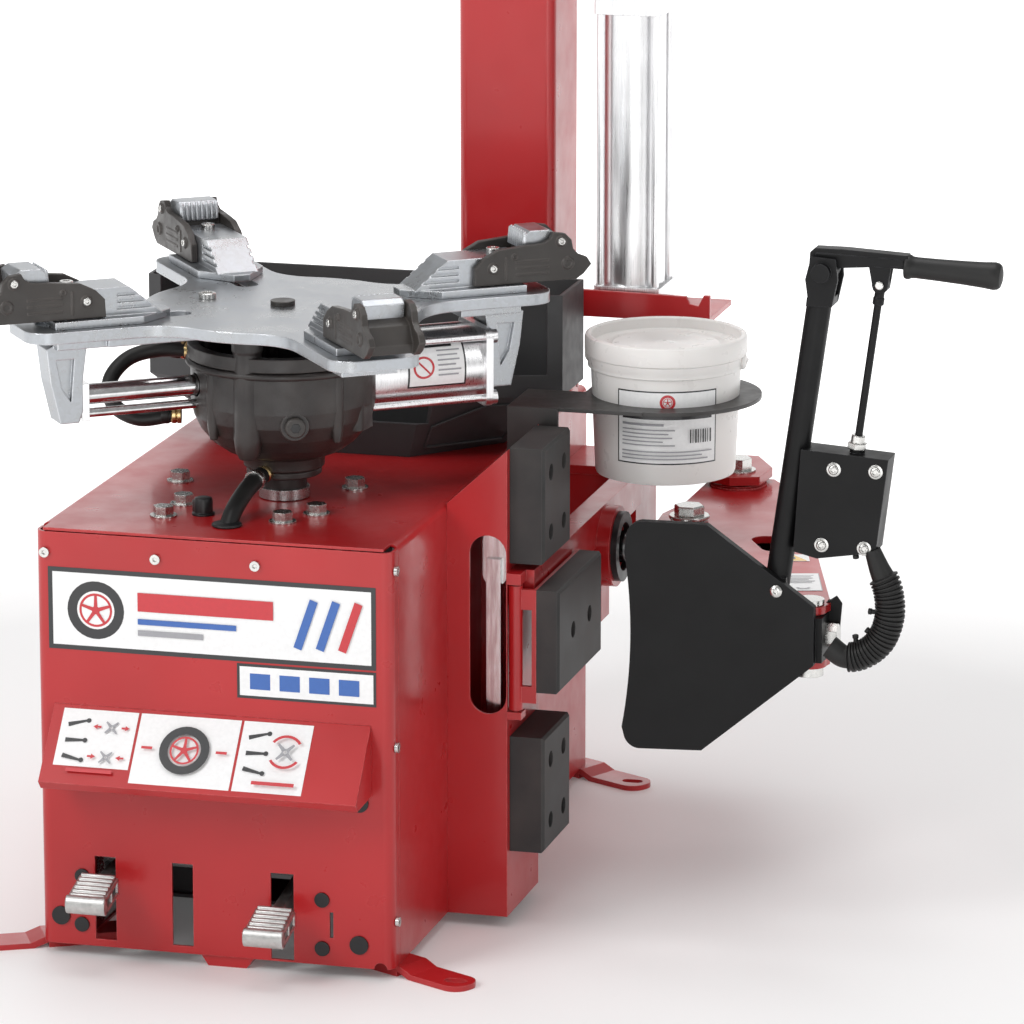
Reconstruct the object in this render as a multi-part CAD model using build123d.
from build123d import *
import math
import os

# Tire changer, millimetres.  +Z is up and the front of the cabinet faces -Y.  The pieces are
# drawn with the turntable's axis at x = y = 0; the export at the end moves them all so that
# the origin is the point on the floor in the middle of the four floor bolts.

# ---- driving dimensions -------------------------------------------------------------------
SHEET = 3.0                                   # folded sheet metal
GAP = 0.5                                     # clearance between pieces that slide on each other
RUN = 0.05                                    # radial clearance between a pin or shaft and its bore
FIT = 0.4                                     # clearance above and below a plate that is slid upon

CAB_LEFT, CAB_RIGHT = -211.0, 175.0           # cabinet box
CAB_FRONT, CAB_BACK = -197.0, 607.0
CAB_BOTTOM, DECK = 12.0, 463.0
COVER_FLANGE = 24.0                           # how far the front cover wraps round the sides
WALL_OPENING_Y, WALL_OPENING_Z = (277.0, 402.0), (255.0, 405.0)

WING_RIGHT, WING_FRONT, WING_BACK = 241.0, 12.0, 142.0
WING_TOP = 524.0

TABLE_ANGLE = 37.0                            # where the turntable's first arm points
PLATE_BOTTOM, PLATE_TOP = 658.0, 670.0
ARM_REACH, ARM_WIDTH = 292.0, 98.0
SLOT_HALF = 13.0                              # half width of the slots in the arms
JAW_TRAVEL = 55.0                             # the jaws move inward from rest
CYL_Z = 592.0                                 # height of the clamping cylinder's axis
CLAMP_ROD_R, CLAMP_BORE_R = 11.0, 36.0
GUIDE_R, GUIDE_DROP = 5.0, 20.0               # guide bar below the clamping rod
LEVER_FACE = 227.5                            # inner face of the jaw levers, from the axis
HUB_R, HUB_RIM = 98.0, 632.0
HUB_INNER = 89.0
EAR_ANGLES = (135.0, -45.0)                   # hub ears, measured from the first arm
EAR_R, EAR_FOOT, EAR_BOLT_R = 88.0, 545.0, 5.0
PORT_R = 7.0
PLUG_PORT_ANGLE, PLUG_PORT_Z = -66.0, 560.0   # tapped ports in the bowl
HOSE_PORT_ANGLE, HOSE_PORT_Z = -165.0, 552.0
PINION_R, PINION_TEETH = 24.0, 16             # pitch radius of the pinion between the jaw racks
PINION_SHAFT_R = 8.0
RACK_UPPER, RACK_LOWER = (648.0, 656.0), (637.5, 645.5)

HINGE = (374.0, 522.0)                        # bead breaker arm's hinge
TRUNNION = (361.0, 337.0)                     # where the bead cylinder's rod pulls the arm
TIP = (566.0, 20.0)                           # shovel pivot at the arm's tip
HINGE_PIN_R, TIP_PIN_R, TRUNNION_PIN_R = 15.0, 10.0, 10.0
TRUNNION_HOLE_R = 14.5                        # the rod swings a little against the arm
BEAD_ROD_R, BEAD_BORE_R = 18.0, 51.0
TUNNEL_R, TUNNEL_BORE_R = 45.0, 27.0          # collar that the bead rod passes through
CYL_PIVOT_R = 7.0
ROD_Z = 345.0                                 # height of the bead cylinder's axis
ARM_Z = (312.0, 378.0)                        # lower and upper face of the bead breaker arm
ARM_PLATE = 8.0
CYL_ANCHOR_X = -30.0                          # bead cylinder's own pivot, inside the cabinet
BLADE_Y = (-12.0, -2.0)                       # shovel blade's front and back face
HOSE_R = 13.0                                 # corrugated hose

TUBE_FOOT, TUBE_HEAD = (531.0, 388.0), (576.0, 716.0)   # handle tube, (x, z)
TUBE_Y, TUBE_R = 12.0, 13.0
LEVER_PIVOT = (579.0, 736.0)                  # hand lever pivot, (x, z)
LEVER_PIN_R, LEVER_R, LEVER_LENGTH = 6.0, 9.0, 176.0
LEVER_SLOPE = (178.0, 0.0, -10.0)
GRIP_R, GRIP_START, GRIP_LENGTH = 13.5, 84.0, 98.0
VALVE_ROD_R, VALVE_EYE_R = 4.0, 6.0
VALVE_ROD_X = (616.0, 638.0)                  # valve rod at its foot and at its head
VALVE_ROD_Z = (556.0, 724.0)

COLUMN = (124.0, 497.0)                       # column axis
COLUMN_SIDE, COLUMN_WALL, COLUMN_TOP = 110.0, 6.0, 1480.0
COLUMN_PIVOT_R = 20.0
HEAD = (55.0, -175.0)                         # axis of the hexagonal tool shaft
SHAFT_Z = (1100.0, 1840.0)
HEX_FLATS = 32.0
MOUNT_HEAD_Z = 1062.0

HELPER = (272.0, 440.0)                       # press-arm cylinder axis
HELPER_SHELF, HELPER_CAP_Z = 595.0, 926.0
HELPER_ARM_Z, HELPER_PAD_Z = 1222.0, 988.0
HELPER_REACH, HELPER_ANGLE = 320.0, -50.0
HELPER_ROD_R, HELPER_BORE_R = 12.0, 30.0

PAIL = (354.0, 252.0)                         # pail axis
PAIL_BOTTOM, PAIL_RIM = 455.0, 604.0
PAIL_FOOT_R, PAIL_TOP_R = 76.0, 81.5
HOLDER_Z, HOLDER_THICK, HOLDER_R = 538.0, 4.0, 104.0

WORM_X, WORM_Z = -94.0, 397.0                 # worm shaft, parallel to Y
MOTOR_Z = 200.0
PULLEY_Y = (125.0, 150.0)
GEAR_PULLEY_R, MOTOR_PULLEY_R = 52.0, 28.0
WHEEL_R = 76.0
OUTPUT_R, NECK_R = 20.0, 14.0                 # turntable shaft in the gearbox and in the hub
WORM_SHAFT_R, MOTOR_SHAFT_R = 15.0, 12.0

PEDAL_AXIS_Y, PEDAL_AXIS_Z = -95.0, 82.0
PEDAL_SHAFT_R = 8.0
TREAD_HALF, RIB_HALF = 22.0, 19.0             # half widths of the pedal's tread and of its ribs
PEDAL_X = (-139.0, 54.0)
PEDAL_SLOTS = ((-151.0, -128.0, 20.0, 111.0), (-66.0, -43.0, 20.0, 110.0), (42.0, 67.0, 14.0, 108.0))

FOOT_SPLAY = 28.0                             # floor straps point outward and a little forward
FOOT_HOLES_X, FOOT_HOLES_Y = (-277.0, 241.0), (-193.0, 569.0)

DECK_BOLTS = ((-96, -118), (-92, -62), (32, -111), (56, -68), (62, 54), (-128, 36))
COVER_SCREWS_X = (-200.0, -79.0, 29.0)
COVER_SCREW_Z = 437.0
SCREW_HOLE_R, DECK_HOLE_R, PAD_HOLE_R = 3.2, 6.2, 4.2
PLUGS = ((-165, 88, 6), (-166, 35, 6), (98, 83, 6), (98, 30, 6), (-189, 43, 8), (138, 37, 8),
         (139, 191, 8))                       # (x, z, radius) in the front cover
SIDE_SCREWS = ((-185, 438), (-185, 250), (-185, 62))   # (y, z) on the right side
PAD_Y = (22.0, 132.0)
PADS_Z = ((400.0, 525.0), (83.0, 210.0))
PAD_THICK = 35.0
PAD_BACK = 244.0
PAD_SCREW_Y, PAD_SCREW_Z = 28.0, 30.0         # how far the pad screws stand in from its edges
PAD_SCREW_SEAT = PAD_BACK + PAD_THICK - 14.0  # where the screw heads sit, below the pad's face
SWING_PAD_PIN = (249.0, 18.0)                 # hinge of the middle pad
SWING_PAD_Y, SWING_PAD_Z = (15.0, 198.0), (262.0, 374.0)
SWING_PAD_PIN_R = 4.0


# ---- small helpers ------------------------------------------------------------------------
UPWARD = (Align.CENTER, Align.CENTER, Align.MIN)


def block(x, y, z):
    """Box between three (low, high) pairs."""
    middle = [(low + high) / 2 for low, high in (x, y, z)]
    return Pos(*middle) * Box(x[1] - x[0], y[1] - y[0], z[1] - z[0])


def bar(start, direction, radius, length):
    """Round bar from a point along a direction."""
    place = Plane(origin=start, z_dir=direction).location
    return place * Cylinder(radius, length, align=UPWARD)


def post(x, y, radius, z):
    """Upright round bar between two heights."""
    return bar((x, y, z[0]), (0, 0, 1), radius, z[1] - z[0])


def tube(x, y, outer, inner, z):
    """Upright tube between two heights."""
    return post(x, y, outer, z) - post(x, y, inner, (z[0] - 1, z[1] + 1))


def slab(points, z):
    """Flat plate with the given plan outline between two heights."""
    face = make_face(Polyline(*points, close=True))
    return Pos(0, 0, z[0]) * extrude(face, z[1] - z[0])


def side_plate(points, y):
    """Plate with an outline in X and Z, between two Y positions."""
    plane = Plane(origin=(0, y[1], 0), x_dir=(1, 0, 0), z_dir=(0, -1, 0))
    return extrude(plane * make_face(Polyline(*points, close=True)), y[1] - y[0])


def long_profile(points, x):
    """Solid with an outline in Y and Z, between two X positions."""
    plane = Plane(origin=(x[0], 0, 0), x_dir=(0, 1, 0), z_dir=(1, 0, 0))
    return extrude(plane * make_face(Polyline(*points, close=True)), x[1] - x[0])


def round_upright(solid, radius):
    """Round a solid's upright edges."""
    return fillet(solid.edges().filter_by(Axis.Z), radius)


def hex_bolt(start, direction, thread, length, flats):
    """Hex head above a washer at start, with its shank running back along direction."""
    place = Plane(origin=start, z_dir=direction).location
    washer = Cylinder(flats * 0.75, 2, align=UPWARD)
    head = Pos(0, 0, 2) * extrude(RegularPolygon(flats / math.sqrt(3), 6), flats * 0.5)
    shank = Pos(0, 0, -length) * Cylinder(thread / 2, length + 1, align=UPWARD)
    return place * (washer + head + shank)


def cap_screw(start, direction, thread, length):
    """Round socket head at start, with its shank running back along direction."""
    place = Plane(origin=start, z_dir=direction).location
    head = Cylinder(thread * 0.9, thread * 0.6, align=UPWARD)
    socket = Pos(0, 0, thread * 0.3) * extrude(RegularPolygon(thread * 0.4, 6), thread)
    shank = Pos(0, 0, -length) * Cylinder(thread / 2, length, align=UPWARD)
    return place * (head - socket + shank)


def on_arm(solid, arm):
    """Turn a solid that is drawn along +X onto one of the turntable's four arms."""
    return Rot(0, 0, TABLE_ANGLE + 90 * arm) * solid


def group(solids):
    """Several separate solids kept as one compound."""
    return Compound(children=list(solids))


def turned(outline):
    """Solid of revolution about Z from an outline of (radius, height) points."""
    plane = Plane(origin=(0, 0, 0), x_dir=(1, 0, 0), z_dir=(0, -1, 0))
    return revolve(plane * make_face(Polyline(*outline, close=True)), Axis.Z, 360)


def pad_screws(low, top):
    """Places (y, z) of the four screws in a fixed rubber pad."""
    return [(y, z) for y in (PAD_Y[0] + PAD_SCREW_Y, PAD_Y[1] - PAD_SCREW_Y)
            for z in (low + PAD_SCREW_Z, top - PAD_SCREW_Z)]


# ---- cabinet ------------------------------------------------------------------------------
def cabinet_shell():
    side_start = CAB_FRONT + COVER_FLANGE + 1
    outer = block((CAB_LEFT, CAB_RIGHT), (side_start, CAB_BACK), (CAB_BOTTOM, DECK))
    outer = fillet(outer.edges().filter_by(Axis.Y).group_by(Axis.Z)[-1], 8)
    inner = block((CAB_LEFT + SHEET, CAB_RIGHT - SHEET), (side_start - 1, CAB_BACK - SHEET),
                  (CAB_BOTTOM - 1, DECK - SHEET))
    inner = fillet(inner.edges().filter_by(Axis.Y).group_by(Axis.Z)[-1], 5)
    shell = outer - inner
    lip = block((CAB_LEFT + 9, CAB_RIGHT - 9), (CAB_FRONT + 1, side_start + 1), (DECK - SHEET, DECK))
    floor_flanges = block((CAB_LEFT + 1, CAB_RIGHT - 1), (side_start, CAB_BACK - 1),
                          (CAB_BOTTOM, CAB_BOTTOM + SHEET))
    floor_flanges -= block((CAB_LEFT + 45, CAB_RIGHT - 45), (side_start - 1, CAB_BACK - 60), (0, 40))
    shell = shell + lip + floor_flanges
    shell -= post(0, 0, 23, (400, 500))
    shell -= block((150, 200), WALL_OPENING_Y, WALL_OPENING_Z)
    for x, y in DECK_BOLTS:
        shell -= post(x, y, DECK_HOLE_R, (DECK - 20, DECK + 20))
    return shell


def front_cover():
    high = DECK - SHEET - 1
    outer = block((CAB_LEFT, CAB_RIGHT), (CAB_FRONT, CAB_FRONT + COVER_FLANGE), (CAB_BOTTOM, high))
    outer = fillet(outer.edges().filter_by(Axis.Z).group_by(Axis.Y)[0], 12)
    inner = block((CAB_LEFT + SHEET, CAB_RIGHT - SHEET),
                  (CAB_FRONT + SHEET, CAB_FRONT + COVER_FLANGE + 1), (0, 500))
    inner = fillet(inner.edges().filter_by(Axis.Z).group_by(Axis.Y)[0], 9)
    cover = outer - inner
    for left, right, low, top in PEDAL_SLOTS:
        cover -= block((left, right), (CAB_FRONT - 5, CAB_FRONT + 10), (low, top))
    for x, z, radius in PLUGS:
        cover -= bar((x, CAB_FRONT - 5, z), (0, 1, 0), radius, 15)
    for x in COVER_SCREWS_X:
        cover -= bar((x, CAB_FRONT - 5, COVER_SCREW_Z), (0, 1, 0), SCREW_HOLE_R, 15)
    for y, z in SIDE_SCREWS:
        cover -= bar((150, y, z), (1, 0, 0), SCREW_HOLE_R, 40)
    cover -= block((106, 110), (CAB_FRONT - 5, CAB_FRONT + 10), (42, 70))
    corner = bar((CAB_RIGHT - 14, CAB_FRONT - 5, CAB_BOTTOM), (0, 1, 0), 7, 40)
    return cover - corner


def pedal_hood():
    """Bent sheet above the pedals: sloping face, returned lip and two end cheeks."""
    fold, drop, reach, thick = 275.0, 70.0, 57.0, 2.5
    left, right = -192.0, 152.0
    face_top = (CAB_FRONT, fold)
    face_low = (CAB_FRONT - reach, fold - drop)
    profile = [face_top, face_low, (face_low[0] + 8, face_low[1] - 9), (face_low[0] + 10, face_low[1] - 7),
               (face_low[0] + thick + 1, face_low[1] + 1), (CAB_FRONT - thick, fold - 3.5 * thick),
               (CAB_FRONT - thick, fold - 40), (CAB_FRONT, fold - 40)]
    hood = long_profile(profile, (left, right))
    cheek = [(CAB_FRONT, fold - 2), (face_low[0] + 3, face_low[1] + 1), (face_low[0] + 12, face_low[1] - 8),
             (CAB_FRONT, face_low[1] - 6)]
    return hood + long_profile(cheek, (left, left + thick)) + long_profile(cheek, (right - thick, right))


def panel_fasteners():
    """Cover and side screws, pad screws and the gearbox bolts on the deck."""
    screws = [cap_screw((x, CAB_FRONT, COVER_SCREW_Z), (0, -1, 0), 6, 12) for x in COVER_SCREWS_X]
    screws += [cap_screw((CAB_RIGHT, y, z), (1, 0, 0), 6, 12) for y, z in SIDE_SCREWS]
    for low, top in PADS_Z:
        for y, z in pad_screws(low, top):
            screws.append(cap_screw((PAD_SCREW_SEAT, y, z), (1, 0, 0), 8, 30))
    bolts = [hex_bolt((x, y, DECK), (0, 0, 1), 12, 18, 19) for x, y in DECK_BOLTS]
    return group(screws + bolts)


def hole_plugs():
    """Snap plugs in the front cover, side grommets and the ring round the bead rod."""
    plugs = []
    for x, z, radius in PLUGS:
        stem = bar((x, CAB_FRONT, z), (0, 1, 0), radius - 0.3, 6)
        plugs.append(bar((x, CAB_FRONT - 2, z), (0, 1, 0), radius + 2, 2) + stem)
    ring = bar((281, TRUNNION[1], ROD_Z), (1, 0, 0), 39, 7)
    ring -= bar((280, TRUNNION[1], ROD_Z), (1, 0, 0), TUNNEL_BORE_R, 9)
    plugs.append(ring)
    plugs.append(post(-63, -96, 8, (DECK, DECK + 14)))
    return group(plugs)


def side_wing():
    """Box on the cabinet's right side that carries the rubber pads and holds the tyre iron."""
    def body(inset, low):
        left = CAB_RIGHT
        right = WING_RIGHT - inset
        top_left, top_right = DECK - inset, WING_TOP - inset
        outline = [(left, low), (right, low), (right, top_right), (left, top_left)]
        return side_plate(outline, (WING_FRONT + inset, WING_BACK - inset))
    wing = body(0, CAB_BOTTOM) - Pos(-0.01, 0, 0) * body(SHEET, 0)
    wing += block((CAB_RIGHT, CAB_RIGHT + SHEET), (WING_FRONT, WING_BACK), (CAB_BOTTOM, DECK - 4))
    slot = Plane(origin=(220, WING_FRONT - 5, 333.5), x_dir=(0, 0, 1), z_dir=(0, 1, 0))
    wing -= extrude(slot * SlotOverall(195, 40), 15)
    for low, top in PADS_Z:
        for y, z in pad_screws(low, top):
            wing -= bar((WING_RIGHT - 11, y, z), (1, 0, 0), PAD_HOLE_R, 20)
    return wing


def fixed_pads():
    """Two rubber blocks that the wheel leans on."""
    pads = []
    for low, top in PADS_Z:
        pad = block((WING_RIGHT, PAD_BACK + PAD_THICK), PAD_Y, (low, top))
        pad = chamfer(pad.edges().group_by(Axis.X)[-1], 3)
        for y, z in pad_screws(low, top):
            pad -= bar((200, y, z), (1, 0, 0), PAD_HOLE_R, 100)
            pad -= bar((PAD_SCREW_SEAT, y, z), (1, 0, 0), 9, 20)
        pads.append(pad)
    return group(pads)


def foot_straps():
    """Four bent flats that carry the cabinet and take the floor bolts, and a skid under the front."""
    straps = []
    for x, side in ((FOOT_HOLES_X[0], -1), (FOOT_HOLES_X[1], 1)):
        for y in FOOT_HOLES_Y:
            straps.append(floor_strap(x, y, side))
    skid = [(-36, CAB_BOTTOM), (-28, 0), (14, 0), (22, CAB_BOTTOM)]
    straps.append(side_plate(skid, (CAB_FRONT + 3, CAB_FRONT + 45)))
    return group(straps)


def floor_strap(x, y, side):
    """One strap, drawn with its bolt hole at the origin and its foot pointing outward along +X."""
    half, thick, inner = 20, 6, -150
    profile = [(inner, thick), (inner, 2 * thick), (-62, 2 * thick), (-46, thick), (half, thick), (half, 0),
               (-50, 0), (-66, thick)]
    strap = side_plate(profile, (-half, half))
    strap = fillet(strap.edges().filter_by(Axis.Z).group_by(Axis.X)[-1], 18)
    strap += block((inner, -66), (-half, half), (0, thick))
    turn = -FOOT_SPLAY if side > 0 else 180 + FOOT_SPLAY
    strap = Rot(0, 0, turn) * strap
    hole = Pos(0, 0, -1) * extrude(SlotOverall(24, 13), 20)
    return Pos(x, y, 0) * (strap - hole)


def tool_tray():
    """Open moulded bin on the deck behind the turntable, cut away where the turntable sweeps."""
    def bin_body(inset, low):
        front, back = 207 + inset, 354 - inset
        narrow, wide = 160 - inset, 236 - inset
        foot = [(-78, front), (78, front), (narrow, 300), (narrow, back), (-narrow, back), (-narrow, 300)]
        belly = [(-92, front), (92, front), (wide, 262), (wide, back), (-wide, back), (-wide, 262)]
        lower = loft([Pos(0, 0, low) * make_face(Polyline(*foot, close=True)),
                      Pos(0, 0, 528) * make_face(Polyline(*belly, close=True))], ruled=True)
        return lower + slab(belly, (528, 640 + inset))
    tray = bin_body(0, DECK) - bin_body(4, DECK + 4)
    jaw_sweep, cylinder_sweep = 338, 236
    tray -= post(0, 0, jaw_sweep, (552, 700))
    return tray - post(0, 0, cylinder_sweep, (500, 700))


# ---- pedals and drive ---------------------------------------------------------------------
def pedal(index):
    """Cast pedal: eye on the shaft, arm through the cover's slot, ribbed tread outside."""
    x = PEDAL_X[index]
    tread_z = (86.0, 66.0)[index]
    arm = side_arm(x, tread_z)
    eye = bar((x - 8, PEDAL_AXIS_Y, PEDAL_AXIS_Z), (1, 0, 0), 16, 16)
    tread = block((x - TREAD_HALF, x + TREAD_HALF), (CAB_FRONT - 74, CAB_FRONT - 20), (tread_z - 7, tread_z + 5))
    tread = fillet(tread.edges().filter_by(Axis.Z), 7)
    for rib in range(6):
        y = CAB_FRONT - 68 + rib * 8.5
        tread += block((x - RIB_HALF, x + RIB_HALF), (y, y + 3.5), (tread_z + 5, tread_z + 7))
    tread = Pos(0, CAB_FRONT - 20, tread_z) * Rot(14, 0, 0) * Pos(0, -(CAB_FRONT - 20), -tread_z) * tread
    bore = bar((x - 20, PEDAL_AXIS_Y, PEDAL_AXIS_Z), (1, 0, 0), PEDAL_SHAFT_R + RUN, 40)
    return eye + arm + tread - bore


def side_arm(x, tread_z):
    """Pedal arm between the eye and the tread."""
    front = CAB_FRONT - 30
    points = [(PEDAL_AXIS_Y, PEDAL_AXIS_Z + 14), (front, tread_z + 1), (front, tread_z - 14),
              (PEDAL_AXIS_Y, PEDAL_AXIS_Z - 14)]
    return long_profile(points, (x - 6, x + 6))


def pedal_shaft():
    """Shaft with its two end plates, fixed to the cabinet's floor flanges."""
    left, right, thick = -176.0, 130.0, 8.0
    across = (PEDAL_AXIS_Y - 22, PEDAL_AXIS_Y + 22)
    floor = CAB_BOTTOM + SHEET
    shaft = bar((left, PEDAL_AXIS_Y, PEDAL_AXIS_Z), (1, 0, 0), PEDAL_SHAFT_R, right - left)
    for plate, foot in (((left, left + thick), (left - 12, left + thick)),
                        ((right - thick, right), (right - thick, right + 12))):
        shaft += block(plate, across, (floor, PEDAL_AXIS_Z + 20)) + block(foot, across, (floor, floor + 4))
    for x in PEDAL_X:
        shaft += bar((x - 15, PEDAL_AXIS_Y, PEDAL_AXIS_Z), (1, 0, 0), 13, 6)
        shaft += bar((x + 9, PEDAL_AXIS_Y, PEDAL_AXIS_Z), (1, 0, 0), 13, 6)
    return shaft


def pedal_controls():
    """Clamp valve and motor reversing switch on a shelf behind the pedals."""
    shelf = block((-170, 110), (-20, 60), (CAB_BOTTOM + SHEET, CAB_BOTTOM + 7))
    valve = block((-165, -105), (-12, 40), (CAB_BOTTOM + 7, 74)) + bar((-139, -24, 60), (0, 1, 0), 6, 14)
    for x in (-152, -135, -118):
        valve += bar((x, 40, 45), (0, 1, 0), 7, 18)
    switch = block((24, 84), (-12, 52), (CAB_BOTTOM + 7, 100)) + bar((54, -26, 70), (0, 1, 0), 7, 16)
    return shelf + valve + switch


def motor():
    body = bar((WORM_X, 165, MOTOR_Z), (0, 1, 0), 78, 215)
    for step in range(9):
        y = 182 + step * 21
        ring = bar((WORM_X, y, MOTOR_Z), (0, 1, 0), 79, 9) - bar((WORM_X, y - 1, MOTOR_Z), (0, 1, 0), 73, 11)
        body -= ring
    body += bar((WORM_X, 380, MOTOR_Z), (0, 1, 0), 70, 40)
    body += block((WORM_X - 60, WORM_X + 60), (195, 350), (110, 130))
    body += block((WORM_X - 90, WORM_X + 90), (195, 350), (100, 110))
    legs = block((WORM_X - 90, WORM_X - 80), (195, 350), (CAB_BOTTOM + SHEET, 101))
    legs += block((WORM_X + 80, WORM_X + 90), (195, 350), (CAB_BOTTOM + SHEET, 101))
    legs += block((WORM_X - 90, WORM_X + 90), (195, 350), (CAB_BOTTOM + SHEET, CAB_BOTTOM + 8))
    return body + legs - bar((WORM_X, 100, MOTOR_Z), (0, 1, 0), MOTOR_SHAFT_R + RUN, 200)


def pulley(radius, z, bore):
    """Grooved belt pulley on a Y axis."""
    groove = PULLEY_Y[1] - PULLEY_Y[0]
    wheel = bar((WORM_X, PULLEY_Y[0] - 3, z), (0, 1, 0), radius + 6, groove + 6)
    core = bar((WORM_X, 0, z), (0, 1, 0), radius, 300)
    wheel -= bar((WORM_X, PULLEY_Y[0], z), (0, 1, 0), radius + 10, groove) - core
    return wheel - bar((WORM_X, 0, z), (0, 1, 0), bore, 300)


def motor_pulley():
    shaft = bar((WORM_X, 118, MOTOR_Z), (0, 1, 0), MOTOR_SHAFT_R, 180)
    return pulley(MOTOR_PULLEY_R, MOTOR_Z, MOTOR_SHAFT_R - 1) + shaft


def drive_belt():
    """Flat ribbed belt round both pulleys."""
    def loop(extra):
        plane = Plane(origin=(0, 128, 0), x_dir=(1, 0, 0), z_dir=(0, 1, 0))
        upper = Pos(WORM_X, -WORM_Z) * Circle(GEAR_PULLEY_R + extra)
        lower = Pos(WORM_X, -MOTOR_Z) * Circle(MOTOR_PULLEY_R + extra)
        return extrude(plane * make_hull(upper.edges() + lower.edges()), 19)
    thick = 4
    return loop(thick + RUN) - loop(RUN)


def gearbox_case():
    """Worm gearbox bolted up under the deck."""
    flange = block((-150, 100), (-138, 104), (446, 460))
    body = block((-142, 94), (-130, 96), (352, 447))
    hollow = block((-128, 82), (-82, 82), (362, 448)) + post(0, 0, 84, (374, 440))
    case = fillet(body.edges().filter_by(Axis.Z), 14) + fillet(flange.edges().filter_by(Axis.Z), 14) - hollow
    case -= post(0, 0, OUTPUT_R + RUN, (300, 500))
    case -= bar((WORM_X, -200, WORM_Z), (0, 1, 0), WORM_SHAFT_R + RUN, 400)
    case -= bar((WORM_X, -112, WORM_Z), (0, 1, 0), 24, 200)
    for x, y in DECK_BOLTS:
        case -= post(x, y, DECK_HOLE_R, (DECK - 20, DECK + 20))
    return case


def worm_shaft():
    """Worm with its shaft and two bearings, parallel to Y, and the pulley keyed on its end."""
    shaft = bar((WORM_X, -108, WORM_Z), (0, 1, 0), WORM_SHAFT_R, 262)
    worm = bar((WORM_X, -46, WORM_Z), (0, 1, 0), 17.6, 92)
    for step in range(9):
        y = -42 + step * 10
        core = bar((WORM_X, y, WORM_Z), (0, 1, 0), WORM_SHAFT_R - 0.1, 4)
        worm -= bar((WORM_X, y, WORM_Z), (0, 1, 0), 20, 4) - core
    bearings = bar((WORM_X, -104, WORM_Z), (0, 1, 0), 22, 16) + bar((WORM_X, 66, WORM_Z), (0, 1, 0), 22, 16)
    return group([shaft + worm + bearings, pulley(GEAR_PULLEY_R, WORM_Z, WORM_SHAFT_R)])


def worm_wheel():
    """Worm wheel on the turntable's shaft, with slanted teeth."""
    teeth = 36
    wheel = tube(0, 0, WHEEL_R, OUTPUT_R, (WORM_Z - 13, WORM_Z + 13))
    for step in range(teeth):
        tooth_gap = Pos(WHEEL_R, 0, WORM_Z) * Rot(12, 0, 0) * Box(9, 5, 40)
        wheel -= Rot(0, 0, step * 360 / teeth) * tooth_gap
    return wheel


def output_shaft():
    """Turntable shaft with the bright collar above the deck."""
    foot, shoulder, top = 335, 475, 500
    collar = post(0, 0, 27, (DECK + 1, shoulder))
    return post(0, 0, OUTPUT_R, (foot, shoulder)) + collar + post(0, 0, NECK_R, (shoulder - 1, top))


# ---- turntable ----------------------------------------------------------------------------
def hub_casting():
    """Cast bowl on the shaft, with two ears up to the star plate."""
    outline = [(0, 475), (24, 475), (24, 506), (44, 510), (62, 517), (76, 527), (88, 541), (95, 556),
               (HUB_R, 572), (HUB_R, HUB_RIM), (HUB_INNER, HUB_RIM), (HUB_INNER, 572), (80, 552), (68, 543),
               (50, 540), (0, 540)]
    hub = turned(outline) - post(0, 0, NECK_R + RUN, (400, 501))
    hub += tube(0, 0, HUB_R + 3, HUB_INNER, (HUB_RIM - 14, HUB_RIM))
    for angle in EAR_ANGLES:
        ear = Pos(EAR_R, 0, EAR_FOOT) * Box(19, 36, PLATE_BOTTOM - EAR_FOOT, align=UPWARD)
        hub += Rot(0, 0, angle) * fillet(ear.edges().filter_by(Axis.Z), 8)
    for angle in EAR_ANGLES:
        hub -= Rot(0, 0, angle) * post(EAR_R, 0, EAR_BOLT_R, (620, 700))
    hub -= block((0, 130), (-46, 46), (546, 660))
    hub -= bar((-130, 0, CYL_Z), (1, 0, 0), CLAMP_ROD_R + 1.5, 130)
    hub -= bar((-130, 0, CYL_Z - GUIDE_DROP), (1, 0, 0), GUIDE_R + 0.2, 130)
    hub = Rot(0, 0, TABLE_ANGLE) * hub
    hub -= Rot(0, 0, PLUG_PORT_ANGLE) * bar((70, 0, PLUG_PORT_Z), (1, 0, 0), PORT_R, 60)
    return hub - Rot(0, 0, HOSE_PORT_ANGLE) * bar((70, 0, HOSE_PORT_Z), (1, 0, 0), PORT_R, 60)


def table_plate():
    """Star plate with four slotted arms."""
    star = Circle(148)
    for arm in range(4):
        star += Rot(0, 0, 90 * arm) * (Pos(ARM_REACH / 2, 0) * Rectangle(ARM_REACH, ARM_WIDTH))
    corners = star.vertices().filter_by(lambda v: abs(v.X ** 2 + v.Y ** 2) < 160 ** 2)
    star = fillet(corners, 60)
    tips = star.vertices().filter_by(lambda v: v.X ** 2 + v.Y ** 2 > 280 ** 2)
    star = fillet(tips, 26)
    plate = Pos(0, 0, PLATE_BOTTOM) * extrude(star, PLATE_TOP - PLATE_BOTTOM)
    for arm in range(4):
        slot = Pos(187, 0, PLATE_BOTTOM - 1) * extrude(SlotOverall(170, 2 * SLOT_HALF), 20)
        plate -= Rot(0, 0, 90 * arm) * slot
    plate -= post(0, 0, PINION_SHAFT_R + RUN, (650, 680))
    for angle in EAR_ANGLES:
        plate -= Rot(0, 0, angle) * post(EAR_R, 0, EAR_BOLT_R + 0.2, (650, 680))
    return Rot(0, 0, TABLE_ANGLE) * plate


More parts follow.
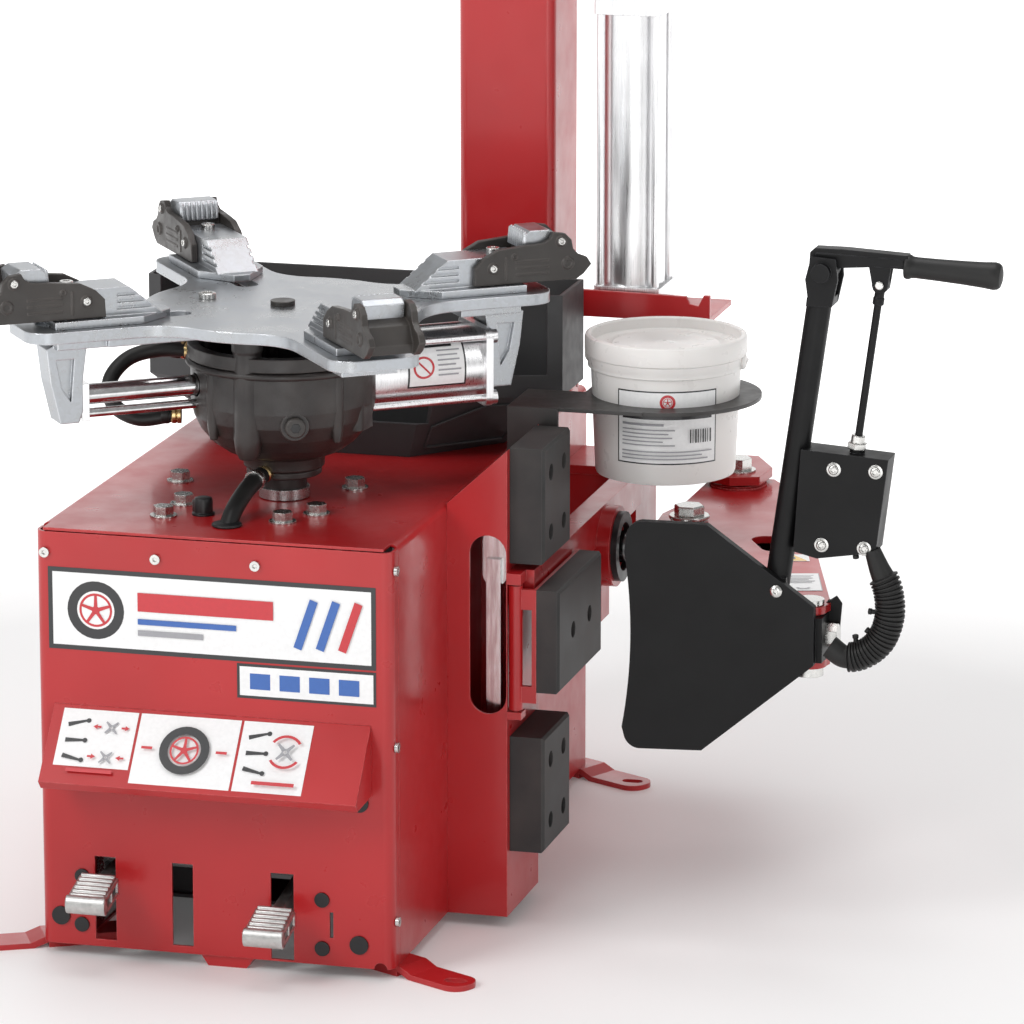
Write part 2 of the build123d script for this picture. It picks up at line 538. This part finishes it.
def hub_fittings():
    """Plate bolts, the oil plug in the bowl and the hose fitting."""
    def port_piece(angle, z, outside, head_r, head):
        stem = bar((HUB_INNER - 5, 0, z), (1, 0, 0), PORT_R - 0.2, 16)
        return Rot(0, 0, angle) * (stem + bar((outside, 0, z), (1, 0, 0), head_r, head))
    bolt = cap_screw((EAR_R, 0, PLATE_TOP), (0, 0, 1), 2 * EAR_BOLT_R, 45)
    fittings = [Rot(0, 0, TABLE_ANGLE + angle) * bolt for angle in EAR_ANGLES]
    fittings.append(port_piece(PLUG_PORT_ANGLE, PLUG_PORT_Z, HUB_R + 1, 11, 7))
    fittings.append(port_piece(HOSE_PORT_ANGLE, HOSE_PORT_Z, HUB_R + FIT, 9, 12))
    return group(fittings)


def jaw_slide(arm):
    """Ribbed wedge that slides on an arm, with its keel, retainer, rack and, on two arms, a lever."""
    flange = slab([(128, -9), (128, 9), (166, 37), (262, 37), (262, -37), (166, -37)],
                  (PLATE_TOP + FIT, 678))
    wedge = side_plate([(140, 677), (262, 677), (262, 708), (178, 708), (170, 702)], (-23, 23))
    for z in (684, 691, 698):
        wedge -= block((120, 190), (-24, -20.5), (z, z + 3)) + block((120, 190), (20.5, 24), (z, z + 3))
    keel = block((190, 258), (-SLOT_HALF + GAP, SLOT_HALF - GAP), (648, PLATE_TOP + 1))
    retainer = block((190, 258), (-30, 30), (647, PLATE_BOTTOM - FIT))
    low, high = RACK_UPPER if arm % 2 == 0 else RACK_LOWER
    back = PINION_R + 13
    rack = block((-14, 205), (PINION_R + 3.9, back), (low, high))
    pitch = 2 * math.pi * PINION_R / PINION_TEETH
    for step in range(9):
        middle = (step - 1) * pitch
        rack += rack_tooth(middle, low, high)
    hanger = block((192, 205), (22, back), (low, PLATE_BOTTOM - FIT))
    slide = flange + wedge + keel + retainer + rack + hanger
    if arm % 2 == 0:
        lever_outline = [(222, 650), (258, 650), (266, 646), (262, 610), (252, 566), (232, 566),
                         (LEVER_FACE, 578), (LEVER_FACE, 608)]
        lever = side_plate(lever_outline, (-17, 17))
        window = [(236, 634), (256, 634), (250, 604), (240, 588)]
        lever -= side_plate(window, (-18, -11)) + side_plate(window, (11, 18))
        slide += lever
    return on_arm(slide, arm)


def rack_tooth(middle, low, high):
    """Trapezoid tooth pointing at the pinion."""
    root, tip = PINION_R + 4.0, PINION_R - 2.2
    points = [(middle - 2.7, root), (middle + 2.7, root), (middle + 1.0, tip), (middle - 1.0, tip)]
    return slab(points, (low, high))


def equalizer_pinion():
    """Pinion that makes all four jaws move alike."""
    gear = post(0, 0, PINION_R - 3.2, (636.5, 657))
    for step in range(PINION_TEETH):
        angle = 360 / PINION_TEETH * step
        root, tip = PINION_R - 4, PINION_R + 2.2
        points = [(root, -2.6), (root, 2.6), (PINION_R, 1.7), (tip, 0.9), (tip, -0.9), (PINION_R, -1.7)]
        gear += Rot(0, 0, angle) * slab(points, (636.5, 657))
    gear += post(0, 0, PINION_SHAFT_R, (656, PLATE_TOP)) + post(0, 0, 13, (PLATE_TOP + 0.2, PLATE_TOP + 5))
    gear += post(0, 0, 6, (PLATE_TOP - 1, PLATE_TOP + 2))
    half_pitch_angle = 180 / PINION_TEETH
    return Rot(0, 0, TABLE_ANGLE + 90 + half_pitch_angle) * gear


def jaw_clamp(arm):
    """Forged clamp straddling the wedge, with a serrated head that grips the rim."""
    cheek = [(205, 678), (330, 678), (338, 690), (322, 716), (232, 716), (214, 704)]
    clamp = side_plate(cheek, (23, 32)) + side_plate(cheek, (-32, -23))
    clamp += side_plate([(262, 678), (330, 678), (338, 690), (322, 716), (262, 716)], (-24, 24))
    head = [(268, 715), (300, 715), (300, 728), (284, 735), (270, 735), (264, 728)]
    clamp += side_plate(head, (-26, 26))
    for step in range(6):
        y = -24 + step * 9
        clamp -= block((262, 268), (y, y + 4), (717, 740))
    for x in (228, 250, 306):
        clamp -= bar((x, -40, 697), (0, 1, 0), 6, 12)
        clamp -= bar((x, 40, 697), (0, -1, 0), 6, 12)
    return on_arm(clamp, arm)


def clamp_cylinder():
    """Air cylinder of the clamping jaws: barrel, two square ends, tie rods and nuts."""
    barrel = bar((78, 0, CYL_Z), (1, 0, 0), CLAMP_BORE_R + 3, 136)
    barrel -= bar((77, 0, CYL_Z), (1, 0, 0), CLAMP_BORE_R, 140)
    ends = Part()
    for x in (74, 218):
        end = Pos(x, 0, CYL_Z) * Box(8, 84, 84)
        ends += fillet(end.edges().filter_by(Axis.X), 10)
    ends -= bar((60, 0, CYL_Z), (1, 0, 0), CLAMP_ROD_R + 2 * RUN, 20)
    ties = Part()
    for y in (-33, 33):
        for z in (-33, 33):
            ties += bar((67, y, CYL_Z + z), (1, 0, 0), 4, 160)
            ties += bar((222, y, CYL_Z + z), (1, 0, 0), 7.5, 6)
            ties += bar((64, y, CYL_Z + z), (1, 0, 0), 7.5, 6)
    lug = block((221, LEVER_FACE), (-14, 14), (CYL_Z - 26, CYL_Z + 14))
    return on_arm(barrel + ends + ties + lug, 0)


def clamp_rod():
    """Piston rod and guide bar between the left lever and the clamping cylinder."""
    rod = bar((-LEVER_FACE, 0, CYL_Z), (1, 0, 0), CLAMP_ROD_R, 314)
    piston = bar((80, 0, CYL_Z), (1, 0, 0), CLAMP_BORE_R - 2 * RUN, 12)
    guide = bar((-LEVER_FACE, 0, CYL_Z - GUIDE_DROP), (1, 0, 0), GUIDE_R, 160)
    yoke = block((-LEVER_FACE, -219), (-13, 13), (566, 606))
    return on_arm(rod + piston + guide + yoke, 0)


# ---- bead breaker -------------------------------------------------------------------------
def arm_outline():
    """Plan outline of the bead breaker arm."""
    return [(338, 556), (408, 556), (426, 528), (524, 244), (586, 30), (583, 18), (549, 14), (464, 192),
            (395, 296), (328, 304), (324, 366), (336, 420)]


def bead_arm():
    """Hollow box arm with its hinge boss, an open side for the rod and an open tip for the shovel."""
    low, high = ARM_Z
    outline = arm_outline()
    tip = post(TIP[0], TIP[1], 18, ARM_Z)
    solid = slab(outline, ARM_Z) + tip
    inner = offset(make_face(Polyline(*outline, close=True)), -7)
    hollow = Pos(0, 0, low + ARM_PLATE) * extrude(inner, high - low - 2 * ARM_PLATE)
    open_side = block((300, 400), (262, 418), (low + ARM_PLATE, high - ARM_PLATE))
    open_tip = slab([(500, -5), (500, 70), (600, 70), (600, -5)], (low + ARM_PLATE, high - ARM_PLATE))
    arm = solid - hollow - open_side - open_tip
    arm += post(*HINGE, 30, (low - 4, high + 4))
    stiffener = slab([(505, 66), (505, 74), (585, 74), (585, 66)], (low + ARM_PLATE - 1, high - ARM_PLATE + 1))
    arm += stiffener & solid
    arm -= post(*HINGE, HINGE_PIN_R + RUN, (250, 450))
    arm -= post(*TRUNNION, TRUNNION_HOLE_R, (250, 450))
    arm -= post(*TIP, TIP_PIN_R + RUN, (250, 450))
    oval = Pos(470, 262, high - ARM_PLATE - 2) * Rot(0, 0, 118) * extrude(SlotOverall(70, 32), 20)
    return arm - oval


def bead_frame():
    """Welded frame on the cabinet's side: pad rail, rod tunnel, cylinder anchor and hinge plates."""
    rail = block((WING_RIGHT, 266), (30, 506), (352, 392)) - block((245, 262), (34, 502), (356, 388))
    tunnel = bar((WING_RIGHT, TRUNNION[1], ROD_Z), (1, 0, 0), TUNNEL_R, 40)
    rail = rail + tunnel - bar((230, TRUNNION[1], ROD_Z), (1, 0, 0), TUNNEL_BORE_R, 60)
    web = block((CAB_RIGHT, 260), (502, 598), (306, 385)) - block((180, 255), (507, 593), (300, 400))
    outline = [(CAB_RIGHT, 500), (345, 500), (372, 486), (404, 498), (408, 545), (380, 598), (CAB_RIGHT, 598)]
    plates = slab(outline, (ARM_Z[0] - 16, ARM_Z[0] - 6)) + slab(outline, (ARM_Z[1] + 6, ARM_Z[1] + 16))
    anchor = block((CYL_ANCHOR_X - 10, 243), (319, 355), (262, 269))
    anchor += block((CYL_ANCHOR_X - 10, CYL_ANCHOR_X + 12), (324, 350), (268, 334))
    anchor += post(CYL_ANCHOR_X, TRUNNION[1], CYL_PIVOT_R, (333, 357))
    seat = bar((230, TRUNNION[1], ROD_Z), (1, 0, 0), TUNNEL_R - 1, 60)
    anchor += block((236, 266), (319, 355), (262, 310)) - seat
    hinge = block((WING_RIGHT, 257), (8, 32), (380, 392)) + block((WING_RIGHT, 257), (10, 28), (232, 240))
    hinge += post(*SWING_PAD_PIN, SWING_PAD_PIN_R, (232, 392))
    frame = rail + web + plates + anchor + hinge
    return frame - post(*HINGE, HINGE_PIN_R + RUN, (250, 450))


def arm_pin():
    """Hinge pin of the bead breaker arm with its bolt head and lower nut."""
    pin = post(*HINGE, HINGE_PIN_R, (290, 394))
    head = hex_bolt((HINGE[0], HINGE[1], 394), (0, 0, 1), 16, 20, 26)
    nut = Pos(HINGE[0], HINGE[1], 280) * extrude(RegularPolygon(17, 6), 16)
    return pin + head + nut


def bead_cylinder():
    """Bead breaker air cylinder with its pivot lug and gland."""
    y = TRUNNION[1]
    body = bar((-6, y, ROD_Z), (1, 0, 0), BEAD_BORE_R + 4, 172)
    body -= bar((2, y, ROD_Z), (1, 0, 0), BEAD_BORE_R, 156)
    body -= bar((150, y, ROD_Z), (1, 0, 0), BEAD_ROD_R + 2 * RUN, 30)
    body += block((CYL_ANCHOR_X, -5), (y - 12, y + 12), (336, 354)) + post(CYL_ANCHOR_X, y, 12, (336, 354))
    return body - post(CYL_ANCHOR_X, y, CYL_PIVOT_R + RUN, (300, 400))


def bead_rod():
    """Piston, rod and the trunnion that pulls the arm."""
    y = TRUNNION[1]
    piston = bar((30, y, ROD_Z), (1, 0, 0), BEAD_BORE_R - 2 * RUN, 16)
    rod = bar((30, y, ROD_Z), (1, 0, 0), BEAD_ROD_R, 305)
    trunnion = post(TRUNNION[0], y, 27, (321, 369))
    pin = post(TRUNNION[0], y, TRUNNION_PIN_R, (304, 380))
    low, high = ARM_Z
    washers = post(TRUNNION[0], y, 21, (high + 0.3, high + 3)) + post(TRUNNION[0], y, 21, (low - 4, low - 0.3))
    head = Pos(TRUNNION[0], y, high + 3) * extrude(RegularPolygon(15, 6), 12)
    return piston + rod + trunnion + pin + washers + head


def shovel_blade():
    """Spade-shaped blade with a hollowed pressing edge and the block that hangs in the arm's tip."""
    plane = Plane(origin=(0, BLADE_Y[1], 0), x_dir=(1, 0, 0), z_dir=(0, -1, 0))
    low, middle, high = (372, 240), (381, 336), (374, 430)
    edge = ThreePointArc(low, middle, high)
    rest = Polyline(high, (378, 463), (462, 464), (577, 383), (577, 320), (458, 220), (378, 217), low)
    face = make_face(edge + rest)
    corners = face.vertices().filter_by(lambda v: 377 < v.X < 379)
    blade = extrude(plane * fillet(corners, 17), BLADE_Y[1] - BLADE_Y[0])
    hanger = block((548, 584), (BLADE_Y[1] - 1, 38), (ARM_Z[0] + ARM_PLATE + 1, ARM_Z[1] - ARM_PLATE - 1))
    return blade + hanger - post(*TIP, TIP_PIN_R + RUN, (250, 450))


def shovel_bolts():
    """Pivot bolt through the arm's tip and the big nut that ties the blade to its block."""
    low, high = ARM_Z
    pivot = post(*TIP, TIP_PIN_R, (low - 6, high + 4))
    pivot += post(*TIP, 15, (low - 10, low - GAP)) + post(*TIP, 15, (high + GAP, high + 6))
    nut = Plane(origin=(584, 24, ROD_Z), z_dir=(1, 0, 0)).location * extrude(RegularPolygon(13, 6), 12)
    return group([pivot, nut])


def tube_direction():
    rise = TUBE_HEAD[1] - TUBE_FOOT[1]
    run = TUBE_HEAD[0] - TUBE_FOOT[0]
    length = math.hypot(rise, run)
    return (run / length, 0, rise / length), length


def handle_tube():
    """Leaning tube behind the blade with a fork for the hand lever."""
    direction, length = tube_direction()
    foot = (TUBE_FOOT[0], TUBE_Y, TUBE_FOOT[1])
    body = bar(foot, direction, TUBE_R, length) - bar(foot, direction, TUBE_R - 2.5, length - 20)
    tab = block((505, 545), (BLADE_Y[1], TUBE_Y - 8), (384, 410))
    fork = Part()
    for y in ((TUBE_Y - 17, TUBE_Y - 13), (TUBE_Y + 13, TUBE_Y + 17)):
        fork += side_plate([(566, 700), (590, 700), (596, 728), (594, 750), (568, 752), (562, 728)], y)
    fork += side_plate([(563, 700), (590, 700), (591, 709), (564, 709)], (TUBE_Y - 17, TUBE_Y + 17))
    pivot = bar((LEVER_PIVOT[0], TUBE_Y - 22, LEVER_PIVOT[1]), (0, 1, 0), LEVER_PIN_R, 44)
    nuts = bar((LEVER_PIVOT[0], TUBE_Y - 24, LEVER_PIVOT[1]), (0, 1, 0), 10, 7)
    nuts += bar((LEVER_PIVOT[0], TUBE_Y + 17, LEVER_PIVOT[1]), (0, 1, 0), 10, 7)
    return body + tab + fork + pivot + nuts


def control_box():
    """Air valve box clamped beside the handle tube."""
    outline = [(560, 549), (652, 543), (640, 444), (578, 434), (553, 440)]
    box = side_plate(outline, (-6, 30))
    gland = bar((VALVE_ROD_X[0] - 1, TUBE_Y, 540), (0.12, 0, 1), 8, 14)
    direction, length = tube_direction()
    tube_room = bar((TUBE_FOOT[0], TUBE_Y, TUBE_FOOT[1]), direction, TUBE_R + RUN, length)
    return box - tube_room + gland - valve_bore()


def valve_direction():
    return (VALVE_ROD_X[1] - VALVE_ROD_X[0], 0, VALVE_ROD_Z[1] - VALVE_ROD_Z[0])


def valve_bore():
    """Bore for the valve rod, down into the box."""
    run, _, rise = valve_direction()
    start = (VALVE_ROD_X[0] - run * 0.4, TUBE_Y, VALVE_ROD_Z[0] - rise * 0.4)
    return bar(start, valve_direction(), VALVE_ROD_R + RUN, 120)


def valve_rod():
    """Thin rod from the hand lever down to the valve."""
    run, _, rise = valve_direction()
    start = (VALVE_ROD_X[0] - run * 0.2, TUBE_Y, VALVE_ROD_Z[0] - rise * 0.2)
    length = math.hypot(run, rise)
    rod = bar(start, valve_direction(), VALVE_ROD_R, length * 1.2 - 6)
    eye = bar((VALVE_ROD_X[1], TUBE_Y - 4, VALVE_ROD_Z[1]), (0, 1, 0), VALVE_EYE_R + 3, 8)
    return rod + eye - bar((VALVE_ROD_X[1], TUBE_Y - 9, VALVE_ROD_Z[1]), (0, 1, 0), VALVE_EYE_R, 18)


def hand_lever():
    """Lever with its rubber grip, and ears that hold the valve rod."""
    x, z = LEVER_PIVOT
    fall = LEVER_SLOPE[2] / LEVER_SLOPE[0]
    lever = bar((x + 4, TUBE_Y, z + 12), LEVER_SLOPE, LEVER_R, LEVER_LENGTH)
    knuckle = [(x - 12, z - 10), (x + 10, z - 12), (x + 14, z + 4), (x + 16, z + 21), (x - 10, z + 22)]
    lever += side_plate(knuckle, (TUBE_Y - 9, TUBE_Y + 9))
    for y in ((TUBE_Y - 8, TUBE_Y - 4.5), (TUBE_Y + 4.5, TUBE_Y + 8)):
        lever += side_plate([(630, 717), (646, 717), (650, 744), (626, 745)], y)
    lever += bar((VALVE_ROD_X[1], TUBE_Y - 8, VALVE_ROD_Z[1]), (0, 1, 0), 2.8, 16)
    lever -= bar((x, TUBE_Y - 30, z), (0, 1, 0), LEVER_PIN_R + RUN, 60)
    grip = bar((x + GRIP_START, TUBE_Y, z + 12 + (GRIP_START - 4) * fall), LEVER_SLOPE, GRIP_R, GRIP_LENGTH)
    grip -= bar((x, TUBE_Y, z + 12 - 4 * fall), LEVER_SLOPE, LEVER_R + 0.02, LEVER_LENGTH)
    return group([lever, grip])


def control_hose():
    """Corrugated hose that loops from the valve box back to the blade."""
    points = [(637, 436), (652, 405), (653, 366), (638, 338), (614, 327), (596, 338)]
    path = Spline(*[(x, -4, z) for x, z in points], tangents=[(0.5, 0, -1), (-0.6, 0, 0.9)])
    ring = Plane(origin=path @ 0, z_dir=path % 0) * Circle(HOSE_R)
    return sweep(ring, path=path)


# ---- swing pad ----------------------------------------------------------------------------
def pad_bracket():
    """Hinged frame that holds the middle rubber pad away from the wing."""
    x, y = SWING_PAD_PIN
    web = block((x, 272), (y - 3, y + 3), (250, SWING_PAD_Z[1])) - block((254, 267), (10, 30), (268, 352))
    back = block((268.5, 272), SWING_PAD_Y, SWING_PAD_Z)
    knuckle = post(x, y, 7.5, (242, 378))
    return web + back + knuckle - post(x, y, SWING_PAD_PIN_R + RUN, (200, 400))


def swing_pad():
    """Middle rubber pad on its hinged frame."""
    pad = block((272, 297), SWING_PAD_Y, SWING_PAD_Z)
    pad = chamfer(pad.edges().group_by(Axis.X)[-1], 3)
    for y in (75, 145):
        pad -= bar((285, y, 318), (1, 0, 0), 9, 30)
    return pad


# ---- column, swing arm and mount head -----------------------------------------------------
def column():
    """Square column with its base plate, cap and the shelf for the press-arm cylinder."""
    x, y = COLUMN
    half = COLUMN_SIDE / 2
    body = block((x - half, x + half), (y - half, y + half), (DECK, COLUMN_TOP))
    body = round_upright(body, 10)
    room = half - COLUMN_WALL
    inside = block((x - room, x + room), (y - room, y + room), (DECK + 12, COLUMN_TOP - 8))
    base = block((x - 75, x + 50), (y - 75, y + 75), (DECK, DECK + 12))
    shelf = block((x + half - 3, 369), (398, 500), (HELPER_SHELF - 6, HELPER_SHELF))
    front_outline = [(218, 590), (369, 590), (369, 620), (362, 620), (356, 608), (346, 610), (342, 618),
                     (218, 620)]
    front = side_plate(front_outline, (394, 399))
    brace = block((x + half - 3, x + half + 4), (445, 500), (520, 592))
    pivot = post(x, y, COLUMN_PIVOT_R, (COLUMN_TOP - 1, COLUMN_TOP + 90))
    return body - inside + base + shelf + front + brace + pivot


def swing_arm():
    """Horizontal arm that turns on the column's top and carries the tool shaft's sleeve."""
    x, y = COLUMN
    low, high = COLUMN_TOP + 2, COLUMN_TOP + 82
    reach = math.hypot(HEAD[0] - x, HEAD[1] - y)
    turn = math.degrees(math.atan2(HEAD[1] - y, HEAD[0] - x))
    boss = post(0, 0, 45, (low, high))
    beam = block((30, reach - 20), (-28, 28), (low + 8, high - 6))
    sleeve = block((reach - 34, reach + 34), (-34, 34), (low, high))
    arm = boss + beam + fillet(sleeve.edges().filter_by(Axis.Z), 8)
    arm -= post(0, 0, COLUMN_PIVOT_R + RUN, (low - 5, high + 5))
    arm = Pos(x, y, 0) * Rot(0, 0, turn) * arm
    return arm - hexagon(HEX_FLATS + 0.12, (low - 5, high + 5))


def hexagon(flats, z):
    """Upright hexagonal prism on the tool shaft's axis."""
    return Pos(HEAD[0], HEAD[1], z[0]) * extrude(RegularPolygon(flats / math.sqrt(3), 6), z[1] - z[0])


def tool_shaft():
    """Hexagonal shaft with a stop knob on top."""
    return hexagon(HEX_FLATS, SHAFT_Z) + post(*HEAD, 24, (SHAFT_Z[1], SHAFT_Z[1] + 22))


def mount_head():
    """Duck-shaped mount and demount head under the shaft."""
    x, y = HEAD
    clamp = block((x - 30, x + 30), (y - 30, y + 30), (MOUNT_HEAD_Z + 30, MOUNT_HEAD_Z + 78))
    clamp = fillet(clamp.edges().filter_by(Axis.Z), 10) - hexagon(HEX_FLATS + 0.1, (SHAFT_Z[0], 1200))
    beak = [(x - 62, y - 20), (x - 38, y - 34)]
    heel = [(x + 30, y - 34), (x + 58, y - 12), (x + 40, y + 10), (x - 34, y + 8)]
    blade = slab(beak + heel, (MOUNT_HEAD_Z, MOUNT_HEAD_Z + 16))
    nose = slab(beak + heel[-1:], (MOUNT_HEAD_Z + 15, MOUNT_HEAD_Z + 34))
    stem = block((x - 24, x + 24), (y - 26, y + 8), (MOUNT_HEAD_Z + 15, MOUNT_HEAD_Z + 31))
    return clamp + blade + nose + stem


def lock_lever():
    """Lever on top of the sleeve that locks the shaft."""
    x, y = HEAD
    low, thick, length = COLUMN_TOP + 82.5, 12, 90
    out, aside, up = 0.95, -0.19, 0.24
    ring = tube(x, y, 30, HEX_FLATS / math.sqrt(3) + 1, (low, low + thick))
    root = (x + 24, y, low + thick / 2)
    handle = bar(root, (out, aside, up), 6, length) - post(x, y, 24, (low - 50, low + 50))
    knob = Pos(root[0] + out * length, root[1] + aside * length, root[2] + up * length) * Sphere(13)
    return ring + handle + knob


# ---- press-arm helper ---------------------------------------------------------------------
def helper_cylinder():
    """Upright air cylinder: barrel, square ends, four tie rods with nuts, and the gland."""
    x, y = HELPER
    barrel = tube(x, y, HELPER_BORE_R + 4, HELPER_BORE_R, (HELPER_SHELF + 26, HELPER_CAP_Z))
    low_end = block((x - 38, x + 38), (y - 38, y + 38), (HELPER_SHELF, HELPER_SHELF + 28))
    top_end = block((x - 38, x + 38), (y - 38, y + 38), (HELPER_CAP_Z, HELPER_CAP_Z + 24))
    ends = fillet(low_end.edges().filter_by(Axis.Z), 5) + fillet(top_end.edges().filter_by(Axis.Z), 5)
    ties = Part()
    for dx in (-31, 31):
        for dy in (-31, 31):
            ties += post(x + dx, y + dy, 4.5, (HELPER_SHELF + 20, HELPER_CAP_Z + 34))
            ties += post(x + dx, y + dy, 8, (HELPER_CAP_Z + 24, HELPER_CAP_Z + 31))
    gland = post(x, y, 22, (HELPER_CAP_Z + 23, HELPER_CAP_Z + 36))
    body = barrel + ends + ties + gland
    return body - post(x, y, HELPER_ROD_R + RUN, (HELPER_CAP_Z - 2, HELPER_CAP_Z + 60))


def helper_rod():
    x, y = HELPER
    piston = post(x, y, HELPER_BORE_R - 2 * RUN, (HELPER_CAP_Z - 32, HELPER_CAP_Z - 18))
    return post(x, y, HELPER_ROD_R, (HELPER_CAP_Z - 20, HELPER_ARM_Z + 28)) + piston


def helper_arm():
    """Arm on the helper rod with its press post."""
    reach = HELPER_REACH
    low, high = HELPER_ARM_Z - 12, HELPER_ARM_Z + 22
    arm = post(0, 0, 32, (low, high)) + block((20, reach), (-18, 18), (low, high))
    arm += post(reach, 0, 22, (low, high)) + post(reach, 0, 14, (HELPER_PAD_Z + 34, low + 2))
    arm -= post(0, 0, HELPER_ROD_R + RUN, (low - 5, high + 5))
    return Pos(HELPER[0], HELPER[1], 0) * Rot(0, 0, HELPER_ANGLE) * arm


def press_pad():
    """Conical plastic pad that holds the bead down."""
    outline = [(0, HELPER_PAD_Z), (34, HELPER_PAD_Z), (42, HELPER_PAD_Z + 10), (36, HELPER_PAD_Z + 24),
               (20, HELPER_PAD_Z + 34), (0, HELPER_PAD_Z + 34)]
    return Pos(HELPER[0], HELPER[1], 0) * Rot(0, 0, HELPER_ANGLE) * Pos(HELPER_REACH, 0, 0) * turned(outline)


# ---- accessories --------------------------------------------------------------------------
def pail_holder():
    """Bent plate behind the wing with the ring that the pail hangs in."""
    x, y = PAIL
    top = HOLDER_Z + HOLDER_THICK
    taper = (PAIL_TOP_R - PAIL_FOOT_R) / (PAIL_RIM - PAIL_BOTTOM)
    hole_r = PAIL_FOOT_R + taper * (top - PAIL_BOTTOM) + GAP
    ring = post(x, y, HOLDER_R, (HOLDER_Z, top))
    tongue = block((206, x), (146, y + 60), (HOLDER_Z, top))
    leg = block((206, 262), (WING_BACK, WING_BACK + HOLDER_THICK), (430, top))
    holder = ring + tongue + leg
    return holder - post(x, y, hole_r, (500, 600)) - block((190, 270), (230, 330), (530, 550))


def pail():
    """Tapered pail with rim ring and handle ears, and its recessed lid."""
    def cone(low_r, high_r, low, high):
        return turned([(0, low), (low_r, low), (high_r, high), (0, high)])
    wall = 2
    body = cone(PAIL_FOOT_R, PAIL_TOP_R, PAIL_BOTTOM, PAIL_RIM)
    body += tube(0, 0, 84, PAIL_TOP_R - wall, (PAIL_RIM - 22, PAIL_RIM))
    body -= cone(PAIL_FOOT_R - wall, PAIL_TOP_R - wall, PAIL_BOTTOM + 2.5, PAIL_RIM + 1)
    ears = bar((80, 0, PAIL_RIM - 16), (1, 0, 0), 6, 10) + bar((-80, 0, PAIL_RIM - 16), (-1, 0, 0), 6, 10)
    body += ears
    lid = tube(0, 0, 88, 82, (PAIL_RIM - 8, PAIL_RIM + 4)) - post(0, 0, 84.2, (0, PAIL_RIM + 0.2))
    lid += post(0, 0, 83, (PAIL_RIM + 0.2, PAIL_RIM + 4)) - post(0, 0, 72, (0, PAIL_RIM + 10))
    lid += tube(0, 0, 73, 70, (PAIL_RIM - 6, PAIL_RIM + 4)) + post(0, 0, 71, (PAIL_RIM - 6, PAIL_RIM - 3.5))
    return Pos(PAIL[0], PAIL[1], 0) * Rot(0, 0, 15) * group([body, lid])


def tyre_iron():
    """Flat-ended steel iron standing in the wing's pocket."""
    shank = block((212, 228), (WING_FRONT + 22, WING_FRONT + 32), (60, 400))
    spoon = Pos(220, WING_FRONT + 30, 400) * Box(27, 5, 60)
    return shank + fillet(spoon.edges().filter_by(Axis.Y), 12)


# ---- write every piece --------------------------------------------------------------------
def pieces():
    made = {
        "cabinet_shell": cabinet_shell(), "front_cover": front_cover(), "pedal_hood": pedal_hood(),
        "panel_fasteners": panel_fasteners(), "hole_plugs": hole_plugs(), "side_wing": side_wing(),
        "fixed_pads": fixed_pads(), "foot_straps": foot_straps(), "tool_tray": tool_tray(),
        "pedal_left": pedal(0), "pedal_right": pedal(1), "pedal_shaft": pedal_shaft(),
        "pedal_controls": pedal_controls(), "motor": motor(), "motor_pulley": motor_pulley(),
        "drive_belt": drive_belt(), "gearbox_case": gearbox_case(),
        "worm_shaft": worm_shaft(), "worm_wheel": worm_wheel(), "output_shaft": output_shaft(),
        "hub_casting": hub_casting(), "table_plate": table_plate(), "hub_fittings": hub_fittings(),
        "equalizer_pinion": equalizer_pinion(), "clamp_cylinder": clamp_cylinder(), "clamp_rod": clamp_rod(),
        "bead_arm": bead_arm(), "bead_frame": bead_frame(), "arm_pin": arm_pin(),
        "bead_cylinder": bead_cylinder(), "bead_rod": bead_rod(), "shovel_blade": shovel_blade(),
        "shovel_bolts": shovel_bolts(), "handle_tube": handle_tube(), "control_box": control_box(),
        "valve_rod": valve_rod(), "hand_lever": hand_lever(), "control_hose": control_hose(),
        "pad_bracket": pad_bracket(), "swing_pad": swing_pad(), "column": column(), "swing_arm": swing_arm(),
        "tool_shaft": tool_shaft(), "mount_head": mount_head(), "lock_lever": lock_lever(),
        "helper_cylinder": helper_cylinder(), "helper_rod": helper_rod(), "helper_arm": helper_arm(),
        "press_pad": press_pad(), "pail_holder": pail_holder(), "pail": pail(), "tyre_iron": tyre_iron(),
    }
    for arm in range(4):
        made[f"jaw_slide_{arm + 1}"] = jaw_slide(arm)
        made[f"jaw_clamp_{arm + 1}"] = jaw_clamp(arm)
    return made


bolt_middle_x = (FOOT_HOLES_X[0] + FOOT_HOLES_X[1]) / 2
bolt_middle_y = (FOOT_HOLES_Y[0] + FOOT_HOLES_Y[1]) / 2
to_bolt_middle = Pos(-bolt_middle_x, -bolt_middle_y, 0)
os.makedirs("parts", exist_ok=True)
for name, shape in pieces().items():
    export_step(group([to_bolt_middle * solid for solid in shape.solids()]), f"parts/{name}.step")
